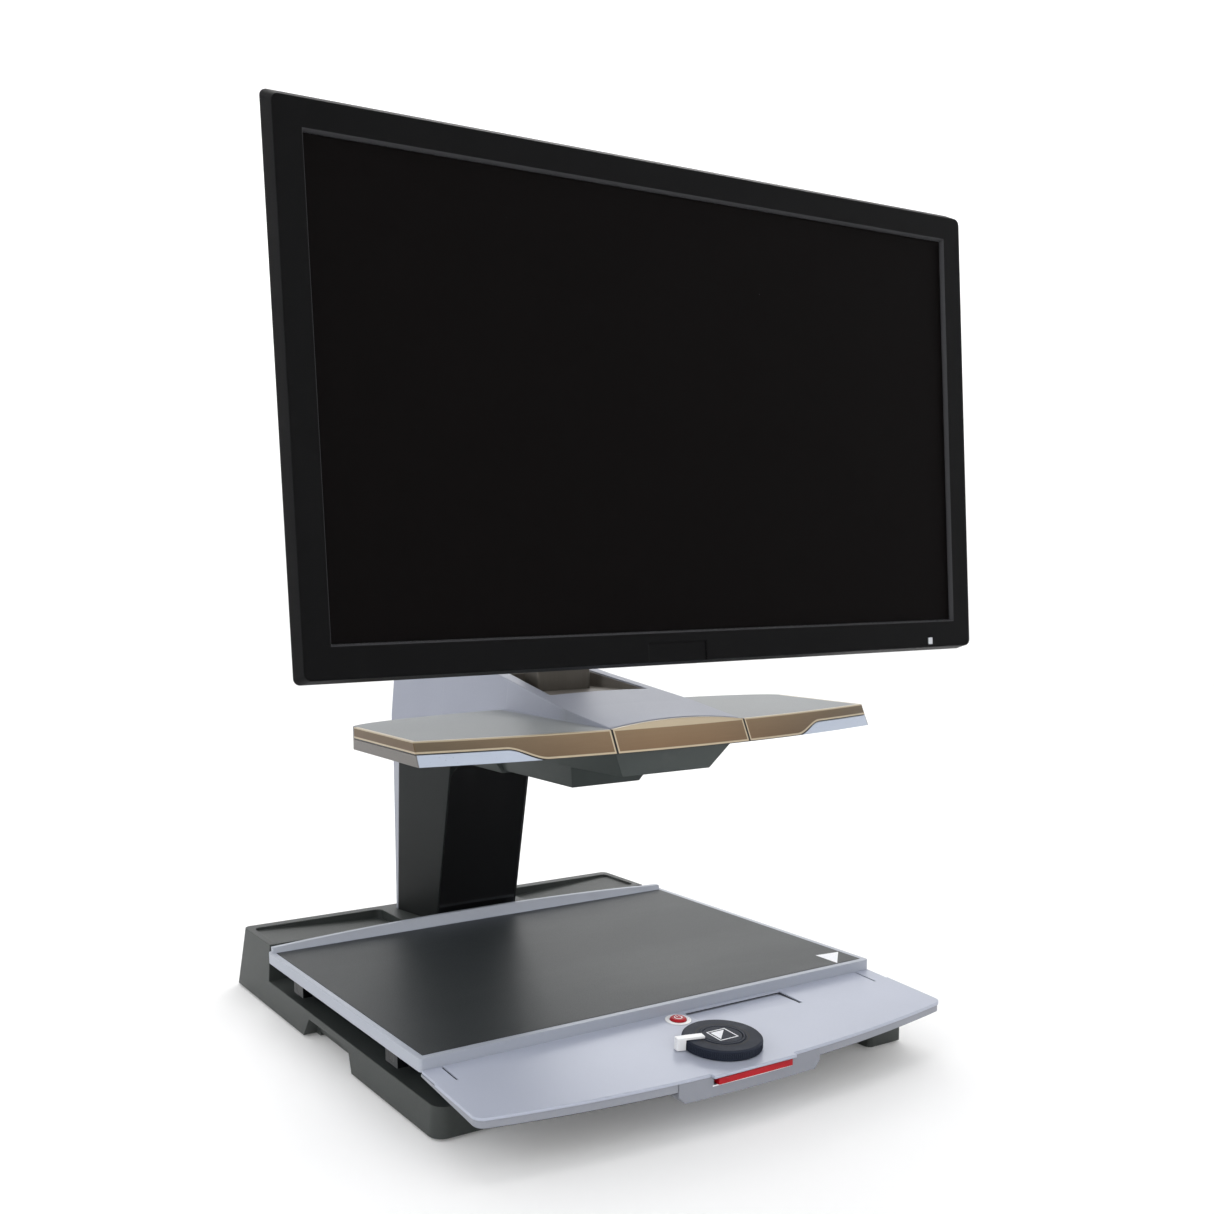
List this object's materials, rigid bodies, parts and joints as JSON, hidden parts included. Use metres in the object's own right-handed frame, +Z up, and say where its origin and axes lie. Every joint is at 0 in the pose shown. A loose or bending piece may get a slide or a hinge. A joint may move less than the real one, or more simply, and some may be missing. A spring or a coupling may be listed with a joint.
{
  "type": "desktop video magnifier",
  "caption": "Reading magnifier: a tilting screen on a mast over a camera wing with lamps, a leaning column, and a sliding reading table with a dial.",
  "frame": {"origin": "on the desk under the middle of the whole, at rest", "axes": "+Z up, -Y towards the reader, +X to the reader's right"},
  "size_m": [0.5744, 0.494, 0.6548],
  "materials": {
    "base_dark": "fine texture",
    "steel": "zinc",
    "rubber": "matt",
    "socket_black": "satin",
    "board_green": "satin",
    "supply_grey": "satin",
    "bearing": "black anodised",
    "column_dark": "fine texture",
    "column_gloss": "polished",
    "silver": "satin",
    "plinth": "satin",
    "lip_silver": "satin",
    "bronze": "brushed",
    "milky": "frosted",
    "housing_dark": "fine texture",
    "glass": "polished",
    "black_anod": "anodised",
    "mast_alu": "anodised",
    "table_silver": "satin",
    "panel_silver": "satin",
    "panel_grey": "satin",
    "mat_dark": "satin",
    "dial_navy": "satin",
    "white": "satin",
    "red": "gloss",
    "bezel_black": "fine texture",
    "lcd_black": "anti-glare",
    "shell_black": "fine texture"
  },
  "bodies": {
    "base": {"base_frame": "base_dark", "base_plate": "steel", "front_foot_block": "base_dark", "rubber_feet": "rubber", "rear_sockets": "socket_black", "main_board": "board_green", "power_supply": "supply_grey", "y_bearings": "bearing", "column_post": "steel", "column_cover": "column_dark", "column_front_panel": "column_gloss", "column_back_shell": "silver", "arm_beam": "steel", "top_cover": "silver", "neck_tray": "plinth", "wing_lower": "lip_silver", "trim_center": "bronze", "trim_sides": "bronze", "lamp_diffusers": "milky", "lamp_boards": "board_green", "arm_under_cover": "housing_dark", "camera_housing": "housing_dark", "camera_window": "glass", "camera_module": "black_anod", "lens_barrel": "black_anod", "lens_glass": "glass", "mast": "mast_alu", "mast_cap": "socket_black"},
    "carriage": {"y_carriage": "bearing", "y_rods": "steel", "x_bearings": "bearing"},
    "table": {"x_rods": "steel", "x_rod_brackets": "bearing", "table_frame": "table_silver", "reading_mat": "mat_dark", "panel_top": "panel_silver", "panel_under": "panel_grey", "panel_foil": "socket_black", "control_housing": "panel_grey", "control_board": "board_green", "dial_spindle": "socket_black", "power_ring": "white", "power_switch": "socket_black"},
    "dial": {"zoom_dial": "dial_navy"},
    "lever": {"lever_hub": "dial_navy", "mode_lever": "white"},
    "center_key": {"center_button": "dial_navy"},
    "power_key": {"power_button": "red"},
    "brake": {"brake_bar": "red"},
    "lift": {"lift_sleeve": "black_anod", "lift_knob": "socket_black"},
    "head": {"swivel_head": "black_anod"},
    "screen": {"tilt_bracket": "steel", "tilt_pin": "steel", "bracket_screws": "steel", "screen_bezel": "bezel_black", "lcd_panel": "lcd_black", "screen_rear_shell": "shell_black", "screen_board": "board_green"},
    "screen_key": {"screen_button": "supply_grey"}
  },
  "joints": [
    {"name": "table_in_out", "type": "slide", "parent": "base", "child": "carriage", "axis": [0, 1, 0], "range_m": [-0.19, 0.003]},
    {"name": "table_left_right", "type": "slide", "parent": "carriage", "child": "table", "axis": [1, 0, 0], "range_m": [-0.15, 0.15]},
    {"name": "zoom_turn", "type": "hinge", "parent": "table", "child": "dial", "pos_m": [0, -0.2095, 0.04356], "axis": [0, -0.061, 0.9981], "continuous": true},
    {"name": "lever_turn", "type": "hinge", "parent": "table", "child": "lever", "pos_m": [0, -0.2095, 0.04356], "axis": [0, -0.061, 0.9981], "range_deg": [-25, 25]},
    {"name": "center_press", "type": "slide", "parent": "table", "child": "center_key", "axis": [0, -0.061, 0.9981], "range_m": [-0.0011, 0], "stiffness_N_per_m": 800, "springref_m": 0.0006},
    {"name": "power_press", "type": "slide", "parent": "table", "child": "power_key", "axis": [0, -0.061, 0.9981], "range_m": [-0.0015, 0], "stiffness_N_per_m": 600, "springref_m": 0.0006},
    {"name": "brake_slide", "type": "slide", "parent": "table", "child": "brake", "axis": [1, 0, 0], "range_m": [-0.0025, 0]},
    {"name": "screen_lift", "type": "slide", "parent": "base", "child": "lift", "axis": [0, 0, 1], "range_m": [-0.02, 0.08]},
    {"name": "screen_swivel", "type": "hinge", "parent": "lift", "child": "head", "pos_m": [0, -0.047, 0.46994], "axis": [0, 0, 1], "range_deg": [-25, 25]},
    {"name": "screen_tilt", "type": "hinge", "parent": "head", "child": "screen", "pos_m": [0, -0.07468, 0.46994], "axis": [1, 0, 0], "range_deg": [-12, 8]},
    {"name": "screen_press", "type": "slide", "parent": "screen", "child": "screen_key", "axis": [0, 0.9974, -0.0715], "range_m": [0, 0.0008], "stiffness_N_per_m": 400, "springref_m": -0.0006}
  ]
}
